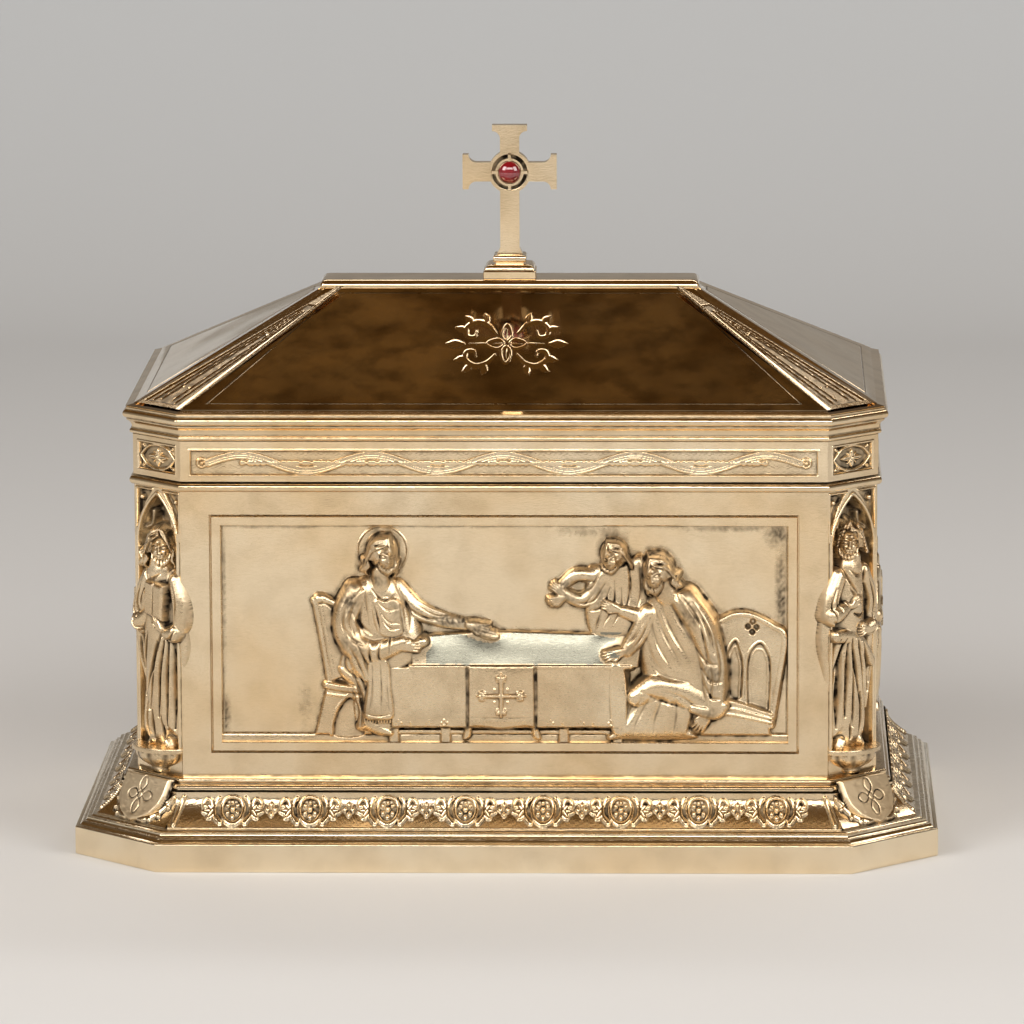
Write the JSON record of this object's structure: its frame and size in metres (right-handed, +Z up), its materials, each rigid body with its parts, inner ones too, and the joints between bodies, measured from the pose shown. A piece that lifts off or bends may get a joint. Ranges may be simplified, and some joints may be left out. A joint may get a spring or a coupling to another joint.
{
  "type": "host box",
  "caption": "Rectangular host box with canted corners on a moulded foot, with a hinged hipped lid that carries a cross.",
  "frame": {"origin": "middle of the foot's underside, on the surface that it stands on", "axes": "+Z up, +X along the front from left to right, -Y out of the front, hinge at +Y"},
  "size_m": [0.2, 0.138, 0.1644],
  "materials": {
    "polished_gilt": "polished silver-gilt mouldings, pale champagne gold, fine scratches",
    "chased_gilt": "cast and chased silver-gilt, bright on the high parts, dark tarnish in the recesses",
    "burnished_gilt": "burnished silver-gilt, mirror smooth with soft waves",
    "inside_gilt": "smooth gilding, softer and yellower than outside",
    "plain_brass": "turned and sheet brass, not gilt",
    "garnet": "deep red polished cabochon"
  },
  "bodies": {
    "casket": {"foot_plinth": "polished_gilt", "foot_cove_front": "chased_gilt", "foot_cove_right": "chased_gilt", "foot_cove_back": "chased_gilt", "foot_cove_left": "chased_gilt", "foot_corner_front_right": "chased_gilt", "foot_corner_back_right": "chased_gilt", "foot_corner_back_left": "chased_gilt", "foot_corner_front_left": "chased_gilt", "foot_cap_moulding": "polished_gilt", "base_plate": "plain_brass", "base_screws": "plain_brass", "floor_plate": "inside_gilt", "floor_screws": "plain_brass", "wall_front": "polished_gilt", "wall_right": "polished_gilt", "wall_back": "polished_gilt", "wall_left": "polished_gilt", "panel_front": "chased_gilt", "panel_right": "chased_gilt", "panel_back": "chased_gilt", "panel_left": "chased_gilt", "corner_post_front_right": "chased_gilt", "corner_post_back_right": "chased_gilt", "corner_post_back_left": "chased_gilt", "corner_post_front_left": "chased_gilt", "corner_corbel_front_right": "chased_gilt", "corner_corbel_back_right": "chased_gilt", "corner_corbel_back_left": "chased_gilt", "corner_corbel_front_left": "chased_gilt", "corner_figure_front_right": "chased_gilt", "corner_figure_back_right": "chased_gilt", "corner_figure_back_left": "chased_gilt", "corner_figure_front_left": "chased_gilt", "rim_bead": "polished_gilt", "inner_liner": "inside_gilt", "hinge_body_leaf": "polished_gilt", "hinge_pin": "plain_brass"},
    "lid": {"frieze_front": "chased_gilt", "frieze_right": "chased_gilt", "frieze_back": "chased_gilt", "frieze_left": "chased_gilt", "frieze_corner_front_right": "chased_gilt", "frieze_corner_back_right": "chased_gilt", "frieze_corner_back_left": "chased_gilt", "frieze_corner_front_left": "chased_gilt", "lid_cornice": "polished_gilt", "lid_bezel": "inside_gilt", "roof_shell": "burnished_gilt", "corner_tracery_front_right": "chased_gilt", "corner_tracery_back_right": "chased_gilt", "corner_tracery_back_left": "chased_gilt", "corner_tracery_front_left": "chased_gilt", "ridge_plate": "burnished_gilt", "cross_pedestal": "polished_gilt", "cross": "polished_gilt", "cross_nut": "plain_brass", "jewel_collet": "polished_gilt", "jewel": "garnet", "hinge_lid_leaf": "polished_gilt"}
  },
  "joints": [
    {"name": "lid_hinge", "type": "hinge", "parent": "casket", "child": "lid", "pos_m": [0, 0.057, 0.0884], "axis": [-1, 0, 0], "range_deg": [0, 100]}
  ]
}
